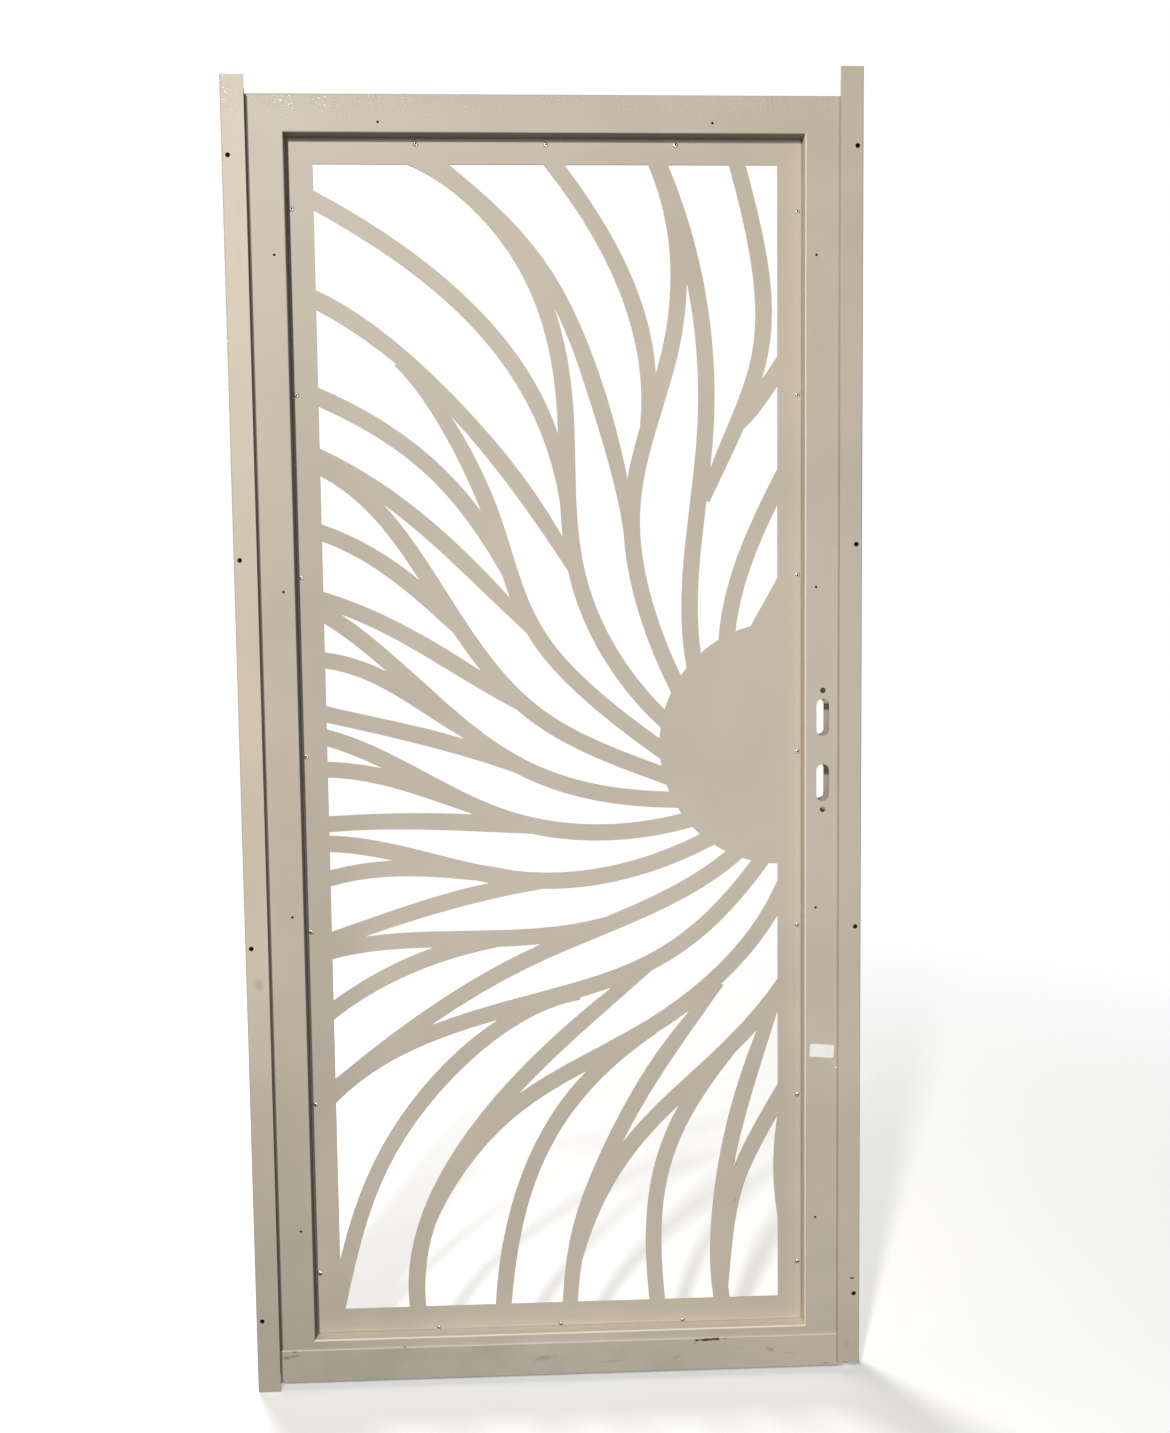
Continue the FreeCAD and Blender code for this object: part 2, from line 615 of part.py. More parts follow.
def ray(points, root=1.0, tip=1.0, wide=1.0):
    """A band along a smooth spine, which narrows at its root or its tip to a share of its width."""
    spine = Part.BSplineCurve()
    spine.interpolate([spot(across, up) for across, up in points])
    start = spine.FirstParameter
    length = spine.LastParameter - start
    near = []
    far = []
    for k in range(RAY_STEPS + 1):
        from_root = root + (1.0 - root) * k / TAPER_STEPS
        from_tip = tip + (1.0 - tip) * (RAY_STEPS - k) / TAPER_STEPS
        half = min(1.0, from_root, from_tip) * wide * sheet.ray_wide / 2
        middle = spine.value(start + length * k / RAY_STEPS)
        along = spine.tangent(start + length * k / RAY_STEPS)[0]
        side = FreeCAD.Vector(-along.z, 0, along.x) * half
        near.append(middle + side)
        far.append(middle - side)
    left = Part.BSplineCurve()
    left.approximate(Points=near, DegMax=3, Tolerance=RAY_FIT)
    right = Part.BSplineCurve()
    right.approximate(Points=far, DegMax=3, Tolerance=RAY_FIT)
    ends = [Part.makeLine(left.EndPoint, right.EndPoint), Part.makeLine(right.StartPoint, left.StartPoint)]
    return Part.Face(Part.Wire(Part.__sortEdges__([left.toShape(), right.toShape()] + ends)))


rim_x = sheet.leaf_left + sheet.tube_face + sheet.panel_fit
rim_z = sheet.leaf_lift + sheet.tube_face + sheet.panel_fit
plate = sheet_face(rim_x, rim_z, sheet.panel_wide, sheet.panel_high)
window = sheet_face(window_left, window_foot, window_wide, window_high)
sun_centre = FreeCAD.Vector(window_left + sheet.sun_across, panel_front, window_foot + sheet.sun_up)
sun_edge = Part.makeCircle(sheet.sun_radius, sun_centre, FreeCAD.Vector(0, 1, 0))
sun = Part.Face(Part.Wire([sun_edge]))
bands = [ray(points) for points in SUN_RAYS]
bands += [ray(points, root=END_SHARE) for points in FORKED_RAYS]
bands += [ray(points, tip=END_SHARE) for points in JOINED_RAYS]
bands.append(ray(SHOULDER, wide=SHOULDER_WIDE))
bands.append(ray(BULGE))
openings = window.cut([sun] + bands)
grille = plate.cut(openings.Faces)
if len(grille.Faces) != 1:
    raise ValueError("the panel is not one sheet")
panel = doc.addObject("Part::Feature", "sunburst_panel")
panel.Shape = grille.Faces[0].extrude(FreeCAD.Vector(0, sheet.panel_thick, 0))
made["sunburst_panel"] = panel

doc.recompute()
for obj in doc.Objects:
    if "Invalid" in obj.State or "Error" in obj.State:
        raise ValueError("failed: " + obj.Name)
    if obj.TypeId == "Sketcher::SketchObject" and not (obj.solve() == 0 and obj.FullyConstrained):
        raise ValueError("unsolved: " + obj.Name)
for node, obj in made.items():
    obj.Label = node
    if obj.Shape.isNull() or not obj.Shape.isValid():
        raise ValueError("bad shape: " + node)
    obj.Shape.exportStep("parts/%s.step" % node)
    print(node, len(obj.Shape.Solids), round(obj.Shape.Volume), [round(v, 1) for v in (
        obj.Shape.BoundBox.XMin, obj.Shape.BoundBox.XMax, obj.Shape.BoundBox.YMin, obj.Shape.BoundBox.YMax,
        obj.Shape.BoundBox.ZMin, obj.Shape.BoundBox.ZMax)])
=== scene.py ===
import math

import bmesh
import bpy
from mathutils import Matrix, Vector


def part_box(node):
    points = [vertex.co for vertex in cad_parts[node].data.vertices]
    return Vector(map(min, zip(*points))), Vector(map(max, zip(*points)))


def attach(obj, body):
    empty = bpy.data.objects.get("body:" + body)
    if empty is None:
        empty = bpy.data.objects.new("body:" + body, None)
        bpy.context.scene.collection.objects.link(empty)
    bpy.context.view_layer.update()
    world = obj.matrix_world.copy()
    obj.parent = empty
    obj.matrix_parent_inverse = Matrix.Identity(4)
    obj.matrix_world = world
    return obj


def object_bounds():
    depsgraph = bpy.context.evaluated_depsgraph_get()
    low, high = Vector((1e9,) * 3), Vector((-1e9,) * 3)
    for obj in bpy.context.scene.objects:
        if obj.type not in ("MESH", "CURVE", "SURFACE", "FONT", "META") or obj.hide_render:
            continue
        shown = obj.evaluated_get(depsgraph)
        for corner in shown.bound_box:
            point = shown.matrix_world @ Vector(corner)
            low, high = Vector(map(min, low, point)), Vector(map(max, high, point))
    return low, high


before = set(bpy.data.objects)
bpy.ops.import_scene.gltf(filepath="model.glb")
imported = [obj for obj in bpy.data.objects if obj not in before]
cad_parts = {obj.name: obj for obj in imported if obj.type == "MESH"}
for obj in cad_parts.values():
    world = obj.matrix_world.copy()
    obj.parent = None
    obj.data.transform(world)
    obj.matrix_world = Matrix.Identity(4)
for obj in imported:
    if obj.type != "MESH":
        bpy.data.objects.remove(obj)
cad_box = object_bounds()
MM = 0.001

# Faces and edges of the door that the added pieces, the worn spots and the painted shade and highlights sit on,
# in millimetres
STILE_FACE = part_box("latch_stile")[0][1] / MM
PANEL_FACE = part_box("sunburst_panel")[0][1] / MM
LEAF_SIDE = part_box("hinge_stile")[0][0] / MM
HINGE_RECESS_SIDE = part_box("hinge_stile")[1][0] / MM
RECESS_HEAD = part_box("top_rail")[0][2] / MM
RECESS_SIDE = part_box("latch_stile")[0][0] / MM
RECESS_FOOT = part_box("bottom_rail")[1][2] / MM
CHANNEL_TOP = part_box("bottom_channel")[1][2] / MM
PANEL_THICK = 1.9
LEDGE_WALL = 2.0

# Rivets: rows along the four sides of the panel, in millimetres
RIVET_HEAD_RADIUS = 4.0
RIVET_HEAD_HIGH = 1.8
RIVET_RIM = 0.3
RIVET_BORE_RADIUS = 1.6
RIVET_BORE_DEEP = 1.5
RIVET_TAIL_RADIUS = 2.6
RIVET_TAIL_HIGH = 4.2
RIVET_DOME_STEPS = 6
RIVET_SEGMENTS = 24
RIVET_ROW_X = (272.5, 472.9, 674.3)
RIVET_TOP_Z = 1975.0
RIVET_FOOT_Z = 83.0
RIVET_LEFT_X = 80.3
RIVET_RIGHT_X = 865.9
RIVET_FIRST_Z = 181.0
RIVET_PITCH_Z = 282.7
RIVET_RIGHT_DROP = 3.0
RIVET_ROWS = 7

# Profiles of the rivet's bore and tail, as shares of their radius and of their depth or height
RIVET_BORE_STEPS = ((1.0, 0.0), (0.92, 0.6), (0.85, 1.0), (0.0, 0.9))
RIVET_TAIL_STEPS = ((0.8, 0.0), (1.0, 0.25), (1.0, 0.6), (0.75, 0.85), (0.4, 0.92), (0.35, 1.25), (0.0, 1.3))
HEAD_SLOT = 0
BORE_SLOT = 1
WELD_REACH = 0.00001

# Paper label on the latch stile, in millimetres
LABEL_MIDDLE = (901.6, 539.6)
LABEL_WIDE = 39.0
LABEL_HIGH = 21.5
LABEL_TURN = math.radians(-4.4)
LABEL_CORNER = 1.6
LABEL_THICK = 0.14
LABEL_LIFT = 0.9
LABEL_COLUMNS = 14
LABEL_ROWS = 8
LABEL_CURL_START = 0.72
LABEL_CURL_SPAN = 0.28

# Powder coat: scale of each pattern, what it covers, and heights in metres
MOTTLE_SCALE = 3.2
STREAK_SCALE = 14.0
STREAK_STRETCH = (1.0, 1.0, 0.12)
STREAK_COVER = 0.10
SPECK_SCALE = 1500.0
SPECK_COVER = 0.06
DUST_TOP = 0.42
DUST_CLOUD_SCALE = 9.0
DUST_COVER = 0.45
DUST_ROUGH = 0.22
PEEL_SCALE = 420.0
PEEL_HIGH = 0.00002
DROP_SCALE = 210.0
DROP_PATCH_SCALE = 32.0
DROP_FADE = 0.075
DROP_COVER = 0.55
DROP_GLOSS = 0.30
DROP_HIGH = 0.0007
WORN_ROUGH = 0.15
PAINT_SPECULAR = 0.45
LEAF_WET_FROM = 1.99
JAMB_WET_FROM = 1.985
LEAF_DUST = 0.45

# Tones, linear colour
WHITE = (1.0, 1.0, 1.0, 1.0)
TAN = (0.560, 0.490, 0.392)
TAN_GREY = (0.500, 0.455, 0.372)
# Paler tan of the hinge jamb: painted sheen on the same powder coat
TAN_WITH_PAINTED_SHEEN = (0.650, 0.569, 0.456)
DEEP_SHARE = (0.93, 0.925, 0.91)
PALE_SHARE = (1.05, 1.045, 1.04)
TARNISH_SHARE = (0.55, 0.55, 0.55)
STREAK_TONE = (0.50, 0.47, 0.40, 1.0)
SPECK_TONE = (0.30, 0.27, 0.22, 1.0)
DUST_TONE = (0.34, 0.32, 0.255, 1.0)
DROP_TONE = (0.86, 0.82, 0.76, 1.0)
BLACK_SCUFF = (0.035, 0.032, 0.028, 1.0)
GREY_DIRT = (0.215, 0.195, 0.155, 1.0)
PALE_RUB = (0.66, 0.61, 0.53, 1.0)
# Dark tone: real smudges, and painted shade low on the hinge side, on the panel's left border and beside a
# painted glint
SMUDGE_AND_PAINTED_SHADE = (0.33, 0.29, 0.23, 1.0)
# Pale tone: painted light and painted highlight on the recess's right and foot walls and the channel's top edge
PAINTED_EDGE_HIGHLIGHT = (0.88, 0.79, 0.65, 1.0)
# White tone: a painted glint on the latch stile
PAINTED_GLINT = (0.92, 0.90, 0.86, 1.0)
# Near-black tone: painted shade in the recess corners, on the panel beside them and in the hinge gap
CORNER_PAINTED_SHADE = (0.085, 0.072, 0.057, 1.0)
CLEAN_TAN = (0.570, 0.490, 0.400, 1.0)
PIN_STEEL = (0.56, 0.56, 0.57)
RIVET_STEEL = (0.74, 0.70, 0.62)
# Near-black inside of the rivet bores: painted shade of the hollow
BORE_PAINTED_SHADE = (0.030, 0.027, 0.023)
PAPER_DEEP = (0.92, 0.915, 0.895, 1.0)
PAPER_PALE = (0.97, 0.965, 0.95, 1.0)
PAPER_SOIL = (0.66, 0.63, 0.57, 1.0)
FLOOR_DEEP = (0.90, 0.90, 0.895, 1.0)
FLOOR_PALE = (0.94, 0.94, 0.935, 1.0)

# Colour sockets of the mix node
MIX_FIRST = 6
MIX_SECOND = 7
MIX_RESULT = 2


def material(name):
    made = bpy.data.materials.new(name)
    made.use_nodes = True
    return made, made.node_tree


def feed(tree, socket, value):
    if isinstance(value, bpy.types.NodeSocket):
        tree.links.new(value, socket)
    else:
        socket.default_value = value


def node(tree, kind, inputs=None, **settings):
    made = tree.nodes.new(kind)
    for key, value in settings.items():
        setattr(made, key, value)
    for key, value in (inputs or {}).items():
        feed(tree, made.inputs[key], value)
    return made


def math_node(tree, operation, first, second, clamp=False):
    made = node(tree, "ShaderNodeMath", {0: first, 1: second}, operation=operation, use_clamp=clamp)
    return made.outputs[0]


def times(tree, first, second):
    return math_node(tree, "MULTIPLY", first, second)


def vector_node(tree, operation, first, second):
    return node(tree, "ShaderNodeVectorMath", {0: first, 1: second}, operation=operation).outputs[0]


def length(tree, vector):
    return node(tree, "ShaderNodeVectorMath", {0: vector}, operation="LENGTH").outputs["Value"]


def mix_colour(tree, share, first, second):
    made = node(tree, "ShaderNodeMix", {"Factor": share}, data_type="RGBA")
    feed(tree, made.inputs[MIX_FIRST], first)
    feed(tree, made.inputs[MIX_SECOND], second)
    return made.outputs[MIX_RESULT]


def span(tree, value, low, high, to_low=0.0, to_high=1.0):
    made = node(tree, "ShaderNodeMapRange", {0: value, 1: low, 2: high, 3: to_low, 4: to_high})
    made.interpolation_type = "SMOOTHSTEP"
    return made.outputs[0]


def noise(tree, place, scale, detail=3.0, rough=0.55, stretch=None):
    if stretch:
        place = node(tree, "ShaderNodeMapping", {"Vector": place, "Scale": stretch}).outputs[0]
    inputs = {"Vector": place, "Scale": scale, "Detail": detail, "Roughness": rough}
    return node(tree, "ShaderNodeTexNoise", inputs).outputs["Fac"]


def bump_node(tree, height, strength, distance):
    inputs = {"Strength": strength, "Distance": distance, "Height": height}
    return node(tree, "ShaderNodeBump", inputs).outputs[0]


def shaded(tone, shares):
    return tuple(channel * share for channel, share in zip(tone, shares)) + (1.0,)


def mark(tree, place, middle, half, turn, soft, broken, grain):
    """Mask of one worn spot, painted shade or painted highlight: an ellipse in X and Z about its middle, in
    millimetres, with a broken edge.
    """
    shifted = vector_node(tree, "SUBTRACT", place, (middle[0] * MM, 0.0, middle[1] * MM))
    inputs = {"Vector": shifted, "Angle": turn}
    rotated = node(tree, "ShaderNodeVectorRotate", inputs, rotation_type="Y_AXIS").outputs[0]
    scaled = vector_node(tree, "MULTIPLY", rotated, (1 / (half[0] * MM), 0.0, 1 / (half[1] * MM)))
    reach = length(tree, scaled)
    if broken:
        ragged = noise(tree, place, grain, 4.0, 0.7)
        uneven = times(tree, math_node(tree, "SUBTRACT", ragged, 0.5), broken)
        reach = math_node(tree, "ADD", reach, uneven)
    return span(tree, reach, 1.0, soft)


def dried_drops(tree, place, height, lowest):
    """Mask of small drops in patches, above the lowest height."""
    inputs = {"Vector": place, "Scale": DROP_SCALE, "Randomness": 1.0}
    cells = node(tree, "ShaderNodeTexVoronoi", inputs, feature="F1").outputs["Distance"]
    patch = span(tree, noise(tree, place, DROP_PATCH_SCALE), 0.36, 0.60)
    high = span(tree, height, lowest, lowest + DROP_FADE)
    return times(tree, span(tree, cells, 0.42, 0.22), times(tree, high, patch))


def paint(name, tone, dust, roughness=0.50, wet_from=0.0, marks=()):
    """Tan powder coat: mottled tone, orange peel, dust low down, drops high up, and the piece's worn spots,
    painted shade and painted highlights.
    """
    made, tree = material(name)
    shader = tree.nodes["Principled BSDF"]
    place = node(tree, "ShaderNodeTexCoord").outputs["Object"]
    height = node(tree, "ShaderNodeSeparateXYZ", {0: place}).outputs["Z"]
    mottle = noise(tree, place, MOTTLE_SCALE)
    streak = noise(tree, place, STREAK_SCALE, 3.0, 0.6, STREAK_STRETCH)
    speck = noise(tree, place, SPECK_SCALE, 1.0)
    colour = mix_colour(tree, span(tree, mottle, 0.3, 0.7), shaded(tone, DEEP_SHARE), shaded(tone, PALE_SHARE))
    colour = mix_colour(tree, span(tree, streak, 0.45, 0.8, 0.0, STREAK_COVER), colour, STREAK_TONE)
    colour = mix_colour(tree, span(tree, speck, 0.35, 0.75, 0.0, SPECK_COVER), colour, SPECK_TONE)
    cloud = span(tree, noise(tree, place, DUST_CLOUD_SCALE, 5.0, 0.65), 0.38, 0.72)
    grime = times(tree, span(tree, height, DUST_TOP, 0.0, 0.0, dust), cloud)
    colour = mix_colour(tree, times(tree, grime, DUST_COVER), colour, DUST_TONE)
    rough = span(tree, mottle, 0.25, 0.75, roughness - 0.05, roughness + 0.06)
    rough = math_node(tree, "ADD", rough, times(tree, grime, DUST_ROUGH), True)
    raised = times(tree, noise(tree, place, PEEL_SCALE, 2.0, 0.5), PEEL_HIGH)
    if wet_from:
        drop = dried_drops(tree, place, height, wet_from)
        colour = mix_colour(tree, times(tree, drop, DROP_COVER), colour, DROP_TONE)
        rough = math_node(tree, "SUBTRACT", rough, times(tree, drop, DROP_GLOSS), True)
        raised = math_node(tree, "ADD", raised, times(tree, drop, DROP_HIGH))
    for middle, half, turn, strength, shade, soft, broken, grain in marks:
        spot_mask = mark(tree, place, middle, half, turn, soft, broken, grain)
        colour = mix_colour(tree, times(tree, spot_mask, strength), colour, shade)
        rough = math_node(tree, "ADD", rough, times(tree, spot_mask, WORN_ROUGH * strength), True)
    tree.links.new(colour, shader.inputs["Base Color"])
    tree.links.new(rough, shader.inputs["Roughness"])
    tree.links.new(bump_node(tree, raised, 1.0, 1.0), shader.inputs["Normal"])
    shader.inputs["Specular IOR Level"].default_value = PAINT_SPECULAR
    return made


def bright_metal(name, tone, roughness):
    """Plated steel with fine turning marks and a little tarnish."""
    made, tree = material(name)
    shader = tree.nodes["Principled BSDF"]
    place = node(tree, "ShaderNodeTexCoord").outputs["Object"]
    ring = noise(tree, place, 700.0, 2.0, 0.5, (1.0, 1.0, 6.0))
    stain = span(tree, noise(tree, place, 60.0, 4.0, 0.6), 0.42, 0.75)
    colour = mix_colour(tree, times(tree, stain, 0.6), tone + (1.0,), shaded(tone, TARNISH_SHARE))
    rough = span(tree, ring, 0.2, 0.8, roughness - 0.08, roughness + 0.12)
    tree.links.new(colour, shader.inputs["Base Color"])
    tree.links.new(rough, shader.inputs["Roughness"])
    tree.links.new(bump_node(tree, ring, 0.5, 0.00008), shader.inputs["Normal"])
    shader.inputs["Metallic"].default_value = 1.0
    return made


def paper(name):
    """White matt label paper with faint fibres and a little soil."""
    made, tree = material(name)
    shader = tree.nodes["Principled BSDF"]
    place = node(tree, "ShaderNodeTexCoord").outputs["Object"]
    fibre = noise(tree, place, 900.0, 3.0, 0.6, (1.0, 1.0, 2.4))
    soil = span(tree, noise(tree, place, 55.0, 4.0), 0.48, 0.75)
    colour = mix_colour(tree, fibre, PAPER_DEEP, PAPER_PALE)
    colour = mix_colour(tree, times(tree, soil, 0.25), colour, PAPER_SOIL)
    tree.links.new(colour, shader.inputs["Base Color"])
    tree.links.new(bump_node(tree, fibre, 0.4, 0.00006), shader.inputs["Normal"])
    shader.inputs["Roughness"].default_value = 0.62
    return made


def dress(look, *nodes):
    for name in nodes:
        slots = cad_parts[name].data.materials
        slots.clear()
        slots.append(look)


# Worn spots, painted shade and painted highlights: middle, half size, turn, strength, shade, softness,
# break-up, grain; lengths in millimetres
# A band along a whole edge is endless in one direction, and its middle there is any point of the door
ENDLESS = 40000.0
MIDDLE_X = 470.0
MIDDLE_Z = 1000.0

jamb_marks = (
    # Broad darker patch low on the hinge jamb: painted shade, the lower left lit less
    ((0.0, 60.0), (90.0, 720.0), 0.0, 0.46, SMUDGE_AND_PAINTED_SHADE, 0.2, 0.25, 8.0),
    ((1.9, 670.0), (11.0, 15.0), 0.2, 0.45, SMUDGE_AND_PAINTED_SHADE, 0.1, 1.0, 60.0),
    ((6.4, 1870.0), (5.0, 20.0), 0.0, 0.55, PALE_RUB, 0.0, 0.8, 70.0),
    ((5.4, 1797.0), (4.0, 26.0), 0.0, 0.35, PALE_RUB, 0.0, 0.9, 60.0),
)
latch_jamb_marks = (
    ((950.2, 161.4), (4.6, 1.5), -0.06, 1.0, BLACK_SCUFF, 0.75, 0.2, 200.0),
    ((939.0, 19.0), (6.0, 2.4), 0.0, 0.6, GREY_DIRT, 0.2, 1.0, 150.0),
    ((941.9, 49.0), (7.0, 14.0), 0.0, 0.3, SMUDGE_AND_PAINTED_SHADE, 0.1, 1.2, 80.0),
)
channel_marks = (
    ((900.0, 38.0), (330.0, 330.0), 0.0, 0.80, CLEAN_TAN, 0.1, 0.2, 8.0),
    # Pale band along the channel's top edge: painted highlight
    ((MIDDLE_X, CHANNEL_TOP), (ENDLESS, 1.8), 0.0, 0.85, PAINTED_EDGE_HIGHLIGHT, 0.5, 0.3, 30.0),
    ((218.0, CHANNEL_TOP), (2.2, 2.2), 0.0, 0.75, BLACK_SCUFF, 0.4, 0.4, 150.0),
    ((716.0, 60.8), (26.0, 2.9), 0.05, 0.95, BLACK_SCUFF, 0.55, 2.4, 140.0),
    ((696.5, 60.2), (1.8, 2.3), 0.0, 0.95, BLACK_SCUFF, 0.6, 0.3, 150.0),
    ((741.0, 62.0), (7.0, 2.2), 0.0, 0.55, GREY_DIRT, 0.2, 1.3, 150.0),
    ((691.9, 54.5), (5.5, 1.6), 0.5, 0.7, GREY_DIRT, 0.2, 1.4, 150.0),
    ((27.5, 52.3), (7.5, 4.2), 0.0, 0.85, GREY_DIRT, 0.2, 0.9, 120.0),
    ((40.0, 54.6), (12.0, 2.4), 0.16, 0.80, GREY_DIRT, 0.3, 0.8, 120.0),
    ((41.0, CHANNEL_TOP - 2.2), (6.0, 1.5), 0.0, 0.90, BLACK_SCUFF, 0.3, 0.6, 120.0),
    # Near-black band at the channel's hinge side end: painted shade of the hinge gap
    ((LEAF_SIDE + 3.0, 40.0), (2.2, ENDLESS), 0.0, 0.65, CORNER_PAINTED_SHADE, 0.4, 0.2, 30.0),
    ((445.9, 38.0), (22.0, 7.0), 0.1, 0.42, GREY_DIRT, 0.1, 1.6, 90.0),
    ((817.0, 41.0), (11.0, 4.2), -0.5, 0.6, GREY_DIRT, 0.1, 1.4, 120.0),
    ((765.0, 45.0), (3.6, 1.7), 0.0, 0.45, GREY_DIRT, 0.1, 1.0, 150.0),
    ((908.0, 14.0), (6.0, 2.2), 0.0, 0.55, GREY_DIRT, 0.2, 1.0, 150.0),
    ((663.9, 33.0), (16.0, 4.0), 0.3, 0.32, GREY_DIRT, 0.1, 1.8, 110.0),
    ((849.9, 34.0), (14.0, 2.2), -0.05, 0.35, GREY_DIRT, 0.1, 1.5, 120.0),
    ((557.9, 29.0), (30.0, 3.0), 0.0, 0.28, GREY_DIRT, 0.1, 1.8, 90.0),
)
panel_marks = (
    # Near-black bands beside the left and top recess walls: painted shadow of the frame on the panel
    ((HINGE_RECESS_SIDE + 1.4, MIDDLE_Z), (2.8, ENDLESS), 0.0, 0.75, CORNER_PAINTED_SHADE, 0.5, 0.2, 20.0),
    ((MIDDLE_X, RECESS_HEAD - 1.4), (ENDLESS, 2.8), 0.0, 0.5, CORNER_PAINTED_SHADE, 0.5, 0.2, 20.0),
    # Broad darker patch on the panel's left border: painted shade
    ((80.0, 900.0), (130.0, 1300.0), 0.0, 0.22, SMUDGE_AND_PAINTED_SHADE, 0.2, 0.3, 8.0),
    ((762.7, 349.1), (2.2, 7.0), 0.5, 0.8, GREY_DIRT, 0.4, 0.6, 180.0),
    ((762.5, 286.0), (1.8, 5.5), 0.2, 0.6, GREY_DIRT, 0.4, 0.6, 180.0),
)
# Broad darker patch low on the hinge side: painted shade, the lower left lit less
low_left_painted_shade = ((30.0, 60.0), (150.0, 620.0), 0.0, 0.34, SMUDGE_AND_PAINTED_SHADE, 0.2, 0.25, 8.0)
hinge_stile_marks = (
    # Painted shade low on the hinge side
    low_left_painted_shade,
    # Near-black band by the hinge gap: painted shadow of the jamb's lip on the stile's edge
    ((LEAF_SIDE + 3.4, MIDDLE_Z), (2.7, ENDLESS), 0.0, 0.88, CORNER_PAINTED_SHADE, 0.5, 0.12, 20.0),
    # Near-black band on the recess's left wall: painted shade
    ((HINGE_RECESS_SIDE + 0.9, MIDDLE_Z), (2.1, ENDLESS), 0.0, 0.80, CORNER_PAINTED_SHADE, 0.4, 0.1, 20.0),
)
top_rail_marks = (
    ((145.9, 2023.0), (6.0, 11.0), 0.0, 0.28, PALE_RUB, 0.0, 1.0, 90.0),
    # Near-black band on the recess's top wall: painted shade
    ((MIDDLE_X, RECESS_HEAD - 0.9), (ENDLESS, 2.1), 0.0, 0.60, CORNER_PAINTED_SHADE, 0.4, 0.1, 20.0),
)
latch_stile_marks = (
    # White dot with a darker patch below right of it: painted glint and its painted shade
    ((927.0, 509.6), (2.8, 1.6), 0.4, 0.6, SMUDGE_AND_PAINTED_SHADE, 0.3, 0.0, 90.0),
    ((925.2, 511.6), (2.7, 1.9), 0.0, 1.0, PAINTED_GLINT, 0.5, 0.2, 120.0),
    # Pale band on the recess's right wall and corner: painted light and highlight
    ((RECESS_SIDE, MIDDLE_Z), (2.8, ENDLESS), 0.0, 0.92, PAINTED_EDGE_HIGHLIGHT, 0.5, 0.2, 20.0),
)
rail_marks = (
    # Painted shade low on the hinge side
    low_left_painted_shade,
    # Pale band on the recess's foot wall and corner: painted light and highlight
    ((MIDDLE_X, RECESS_FOOT), (ENDLESS, 2.8), 0.0, 0.95, PAINTED_EDGE_HIGHLIGHT, 0.5, 0.2, 20.0),
)

leaf_paint = paint("tan_leaf_paint", TAN, LEAF_DUST)
hinge_stile_paint = paint("tan_hinge_stile_paint", TAN, LEAF_DUST, wet_from=LEAF_WET_FROM,
                          marks=hinge_stile_marks)
top_rail_paint = paint("tan_top_rail_paint", TAN, LEAF_DUST, wet_from=LEAF_WET_FROM, marks=top_rail_marks)
latch_stile_paint = paint("tan_latch_stile_paint", TAN, LEAF_DUST, wet_from=LEAF_WET_FROM,
                          marks=latch_stile_marks)
rail_paint = paint("tan_foot_rail_paint", TAN, LEAF_DUST, marks=rail_marks)
panel_paint = paint("tan_panel_paint", TAN, dust=0.30, roughness=0.52, marks=panel_marks)
# The hinge jamb's paler tan is painted sheen
jamb_paint = paint("tan_hinge_jamb_paint", TAN_WITH_PAINTED_SHEEN, dust=0.85, wet_from=JAMB_WET_FROM, marks=jamb_marks)
latch_jamb_paint = paint("tan_latch_jamb_paint", TAN, dust=0.55, marks=latch_jamb_marks)
channel_paint = paint("tan_channel_paint", TAN_GREY, dust=1.0, roughness=0.54, marks=channel_marks)
pin_metal = bright_metal("hinge_pin_steel", PIN_STEEL, roughness=0.32)
rivet_metal = bright_metal("rivet_steel", RIVET_STEEL, roughness=0.34)
# The rivet bores take a near-black copy of the steel: painted shade inside the hollow
bore_painted_shade_metal = bright_metal("rivet_bore_painted_shade", BORE_PAINTED_SHADE, roughness=0.60)
label_paper = paper("label_paper")

HINGES = ("hinge_low", "hinge_mid", "hinge_top")
dress(jamb_paint, "hinge_jamb", *(hinge + "_jamb_half" for hinge in HINGES))
dress(latch_jamb_paint, "latch_jamb")
dress(latch_stile_paint, "latch_stile")
dress(rail_paint, "bottom_rail")
dress(hinge_stile_paint, "hinge_stile")
dress(top_rail_paint, "top_rail")
dress(leaf_paint, "hinge_ledge", "latch_ledge", "top_ledge", "bottom_ledge")
dress(leaf_paint, *(hinge + "_leaf_half" for hinge in HINGES))
dress(panel_paint, "sunburst_panel")
dress(channel_paint, "bottom_channel")
dress(pin_metal, *(hinge + "_pin" for hinge in HINGES))


def piece(name, mesh, body, look):
    made = bpy.data.objects.new(name, mesh)
    bpy.context.scene.collection.objects.link(made)
    mesh.materials.append(look)
    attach(made, body)
    return made


def revolve(shape, middle, face, profile, slot_index):
    """Revolves a profile of (radius, reach) steps about Y, from face towards -Y for positive reach."""
    rings = []
    for radius, reach in profile:
        ring = []
        for step in range(RIVET_SEGMENTS if radius else 1):
            turn = 2 * math.pi * step / RIVET_SEGMENTS
            x = middle[0] + radius * math.cos(turn)
            z = middle[1] + radius * math.sin(turn)
            ring.append(shape.verts.new((x * MM, (face - reach) * MM, z * MM)))
        rings.append(ring)
    for first, second in zip(rings, rings[1:]):
        for step in range(RIVET_SEGMENTS):
            after = (step + 1) % RIVET_SEGMENTS
            corners = [first[step % len(first)], first[after % len(first)],
                       second[after % len(second)], second[step % len(second)]]
            corners = list(dict.fromkeys(corners))
            if len(corners) > 2:
                made = shape.faces.new(corners)
                made.material_index = slot_index
                made.smooth = True


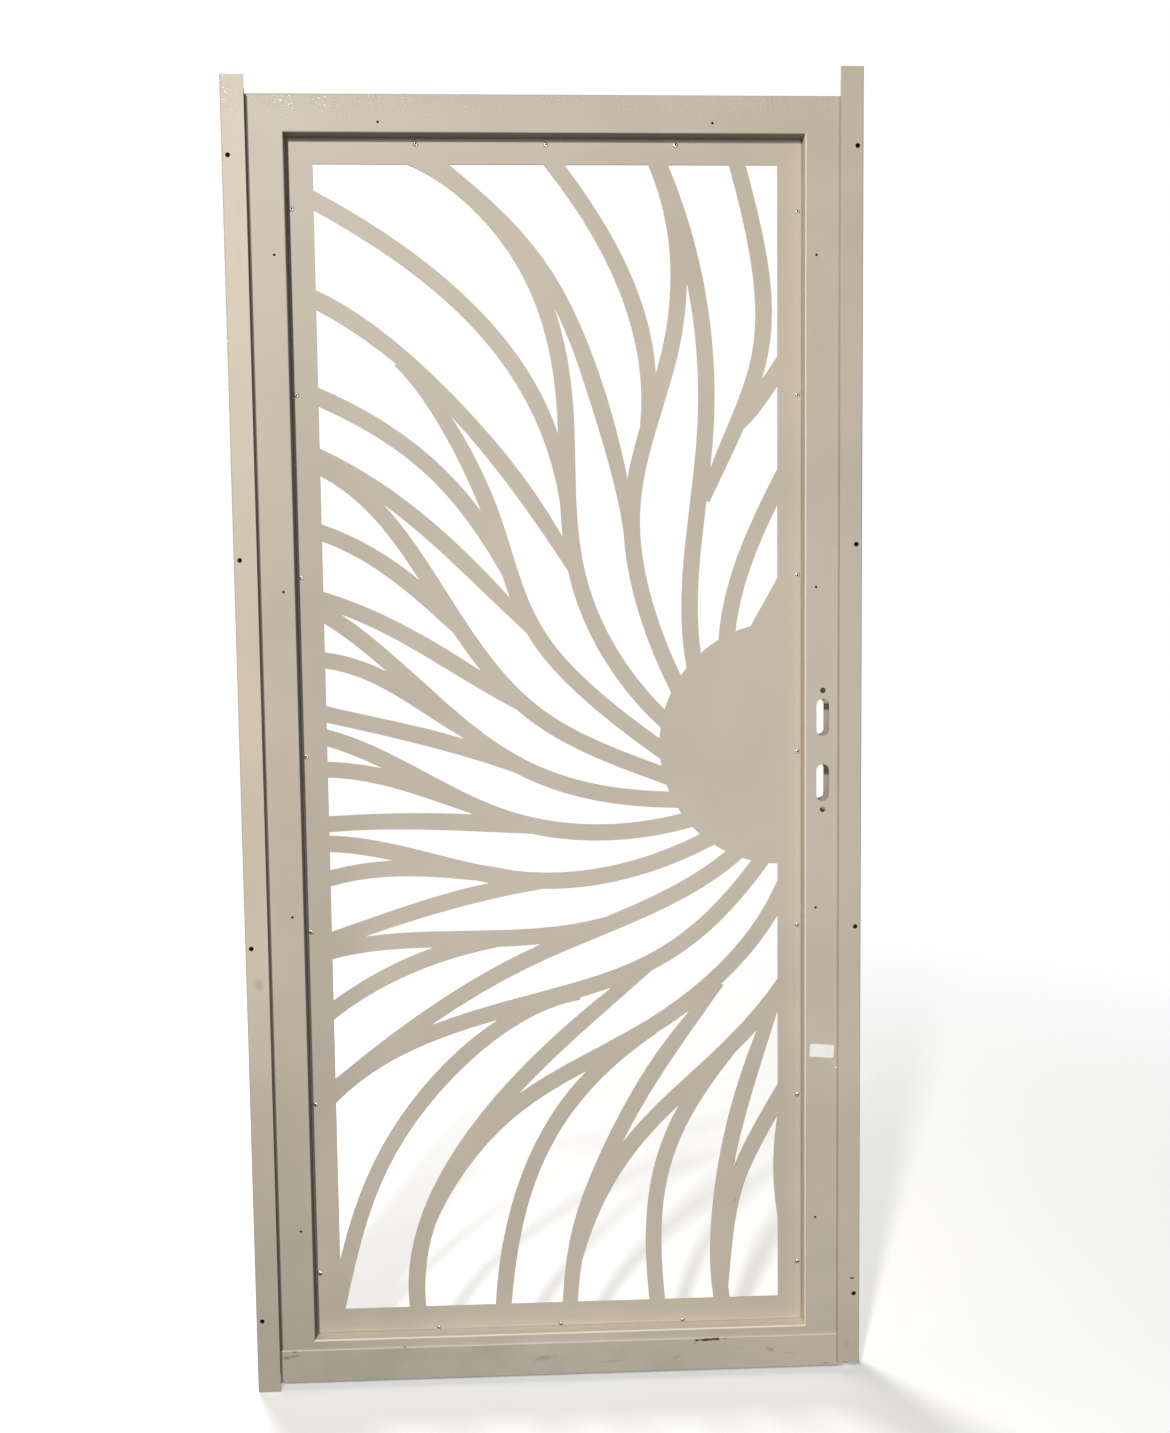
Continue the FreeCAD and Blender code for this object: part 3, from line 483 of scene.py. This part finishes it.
def rivet_places():
    for x in RIVET_ROW_X:
        yield (x, RIVET_TOP_Z)
        yield (x, RIVET_FOOT_Z)
    for row in range(RIVET_ROWS):
        z = RIVET_FIRST_Z + row * RIVET_PITCH_Z
        yield (RIVET_LEFT_X, z)
        yield (RIVET_RIGHT_X, z - RIVET_RIGHT_DROP)


def rivet_head():
    """Dome from the rim up to the mouth of the bore."""
    steps = [(RIVET_HEAD_RADIUS, 0.0)]
    for step in range(RIVET_DOME_STEPS + 1):
        inward = (RIVET_BORE_RADIUS - RIVET_HEAD_RADIUS) * step / RIVET_DOME_STEPS
        radius = RIVET_HEAD_RADIUS + inward
        rise = math.sqrt(1 - (radius / RIVET_HEAD_RADIUS) ** 2)
        steps.append((radius, RIVET_RIM + (RIVET_HEAD_HIGH - RIVET_RIM) * rise))
    return steps


def rivet_bore():
    """Bore with the broken end of the mandrel at its bottom; its near-black colour is painted shade."""
    mouth = rivet_head()[-1][1]
    return [(RIVET_BORE_RADIUS * radius, mouth - RIVET_BORE_DEEP * depth) for radius, depth in RIVET_BORE_STEPS]


def rivet_tail():
    """Upset bulb behind the ledge with the broken mandrel end."""
    return [(RIVET_TAIL_RADIUS * radius, -RIVET_TAIL_HIGH * reach) for radius, reach in RIVET_TAIL_STEPS]


def rivets():
    ledge_back = PANEL_FACE + PANEL_THICK + LEDGE_WALL
    shape = bmesh.new()
    for middle in rivet_places():
        revolve(shape, middle, PANEL_FACE, rivet_head(), HEAD_SLOT)
        revolve(shape, middle, PANEL_FACE, rivet_bore(), BORE_SLOT)
        revolve(shape, middle, ledge_back, rivet_tail(), HEAD_SLOT)
    bmesh.ops.remove_doubles(shape, verts=shape.verts, dist=WELD_REACH)
    bmesh.ops.recalc_face_normals(shape, faces=shape.faces)
    mesh = bpy.data.meshes.new("panel_rivets")
    shape.to_mesh(mesh)
    shape.free()
    piece("panel_rivets", mesh, "leaf", rivet_metal)
    mesh.materials.append(bore_painted_shade_metal)


def label_point(column, row):
    """Point of the label's grid: rounded corners, one of them lifted, turned about the label's middle."""
    x = (column / LABEL_COLUMNS - 0.5) * LABEL_WIDE
    z = (row / LABEL_ROWS - 0.5) * LABEL_HIGH
    past_x = max(abs(x) - (LABEL_WIDE / 2 - LABEL_CORNER), 0.0)
    past_z = max(abs(z) - (LABEL_HIGH / 2 - LABEL_CORNER), 0.0)
    reach = math.hypot(past_x, past_z)
    if reach > LABEL_CORNER:
        share = LABEL_CORNER / reach
        x -= math.copysign(past_x * (1 - share), x)
        z -= math.copysign(past_z * (1 - share), z)
    curl = max(0.0, x / LABEL_WIDE + z / LABEL_HIGH - LABEL_CURL_START) / LABEL_CURL_SPAN
    lift = LABEL_THICK + LABEL_LIFT * curl * curl
    turned_x = x * math.cos(LABEL_TURN) - z * math.sin(LABEL_TURN)
    turned_z = x * math.sin(LABEL_TURN) + z * math.cos(LABEL_TURN)
    return ((LABEL_MIDDLE[0] + turned_x) * MM, (STILE_FACE - lift) * MM, (LABEL_MIDDLE[1] + turned_z) * MM)


def label():
    """Thin rounded rectangle of paper, one corner a little lifted."""
    shape = bmesh.new()
    grid = []
    for row in range(LABEL_ROWS + 1):
        grid.append([shape.verts.new(label_point(column, row)) for column in range(LABEL_COLUMNS + 1)])
    for low, high in zip(grid, grid[1:]):
        for column in range(LABEL_COLUMNS):
            shape.faces.new((low[column], low[column + 1], high[column + 1], high[column]))
    bmesh.ops.recalc_face_normals(shape, faces=shape.faces)
    mesh = bpy.data.meshes.new("bare_label")
    shape.to_mesh(mesh)
    shape.free()
    made = piece("bare_label", mesh, "leaf", label_paper)
    thick = made.modifiers.new("thickness", "SOLIDIFY")
    thick.thickness = LABEL_THICK * MM
    thick.offset = 0.0


rivets()
label()

# Camera at the photograph's viewing angle: place in metres, turn in degrees, lens from pixels
CAMERA_PLACE = (0.45635, -1.88441, 1.21201)
CAMERA_TURN = (86.260, 0.642, -2.068)
CAMERA_REACH = 60.0
FOCAL_PIXELS = 1200.0
LONG_SIDE_PIXELS = 1433.0
SENSOR = 36.0

camera = bpy.data.cameras.new("view")
camera.sensor_width = SENSOR
camera.lens = FOCAL_PIXELS / LONG_SIDE_PIXELS * SENSOR
camera.clip_end = CAMERA_REACH
camera_object = bpy.data.objects.new("view", camera)
bpy.context.scene.collection.objects.link(camera_object)
camera_object.location = CAMERA_PLACE
camera_object.rotation_euler = [math.radians(angle) for angle in CAMERA_TURN]
bpy.context.scene.camera = camera_object

# Pale floor that fades out into the white surround, in metres; no light bounces from it onto the door
FLOOR_RADIUS = 3.4
FLOOR_SOLID = 0.75
FLOOR_GONE_SHARE = 0.98
FLOOR_SEGMENTS = 96
FLOOR_MIDDLE_X = 0.45
FLOOR_DROP = 0.0005
FLOOR_PATTERN_SCALE = 1.5
FLOOR_ROUGHNESS = 0.8
FLOOR_GLOW = 0.32

floor_mesh = bpy.data.meshes.new("floor")
floor_shape = bmesh.new()
bmesh.ops.create_circle(floor_shape, cap_ends=True, segments=FLOOR_SEGMENTS, radius=FLOOR_RADIUS)
floor_shape.to_mesh(floor_mesh)
floor_shape.free()
floor = bpy.data.objects.new("floor", floor_mesh)
bpy.context.scene.collection.objects.link(floor)
floor.location = (FLOOR_MIDDLE_X, 0.0, cad_box[0][2] - FLOOR_DROP)
floor_look, floor_tree = material("pale_floor")
floor_shader = floor_tree.nodes["Principled BSDF"]
floor_place = node(floor_tree, "ShaderNodeTexCoord").outputs["Object"]
floor_pattern = noise(floor_tree, floor_place, FLOOR_PATTERN_SCALE)
floor_colour = mix_colour(floor_tree, floor_pattern, FLOOR_DEEP, FLOOR_PALE)
floor_reach = length(floor_tree, floor_place)
floor_cover = span(floor_tree, floor_reach, FLOOR_RADIUS * FLOOR_GONE_SHARE, FLOOR_SOLID)
floor_tree.links.new(floor_colour, floor_shader.inputs["Base Color"])
floor_tree.links.new(floor_cover, floor_shader.inputs["Alpha"])
floor_shader.inputs["Roughness"].default_value = FLOOR_ROUGHNESS
floor_shader.inputs["Emission Color"].default_value = WHITE
floor_shader.inputs["Emission Strength"].default_value = FLOOR_GLOW
floor_mesh.materials.append(floor_look)
floor.visible_diffuse = False
floor.visible_glossy = False


def lamp(name, place, aim, size, power, warmth):
    made = bpy.data.lights.new(name, "AREA")
    made.shape = "DISK"
    made.size = size
    made.energy = power
    made.color = warmth
    lamp_object = bpy.data.objects.new(name, made)
    bpy.context.scene.collection.objects.link(lamp_object)
    lamp_object.location = place
    lamp_object.visible_camera = False
    away = [start - end for start, end in zip(place, aim)]
    tilt = math.atan2(math.hypot(away[0], away[1]), away[2])
    heading = math.atan2(away[1], away[0]) + math.pi / 2
    lamp_object.rotation_euler = (tilt, 0.0, heading)


# Studio light: a key high on the left in front, two weak fills, a lamp behind, and a white surround
lamp("key", place=(-0.9, -4.6, 3.6), aim=(0.45, 0.0, 1.1), size=0.42, power=190.0, warmth=(1.0, 0.985, 0.955))
lamp("fill", place=(1.6, -4.4, 0.9), aim=(0.7, 0.0, 0.9), size=0.8, power=56.0, warmth=(0.98, 0.985, 1.0))
lamp("low", place=(0.45, -1.8, 0.2), aim=(0.45, 0.0, 0.2), size=0.5, power=6.4, warmth=(0.96, 0.98, 1.0))
lamp("rear", place=(-1.5, 3.6, 3.0), aim=(0.45, 0.0, 1.0), size=2.0, power=185.0, warmth=(1.0, 0.99, 0.97))

# The surround looks white to the camera and gives the door only a little light
SURROUND_LIGHT = 0.02
SURROUND_SEEN = 1.0

world = bpy.data.worlds.new("surround")
world.use_nodes = True
bpy.context.scene.world = world
surround = world.node_tree
weak = surround.nodes["Background"]
weak.inputs["Color"].default_value = WHITE
weak.inputs["Strength"].default_value = SURROUND_LIGHT
seen = node(surround, "ShaderNodeBackground", {"Color": WHITE, "Strength": SURROUND_SEEN})
to_camera = node(surround, "ShaderNodeLightPath").outputs["Is Camera Ray"]
blend = node(surround, "ShaderNodeMixShader", {0: to_camera, 1: weak.outputs[0], 2: seen.outputs[0]})
surround.links.new(blend.outputs[0], surround.nodes["World Output"].inputs["Surface"])

view_settings = bpy.context.scene.view_settings
view_settings.view_transform = "Standard"
view_settings.look = "None"
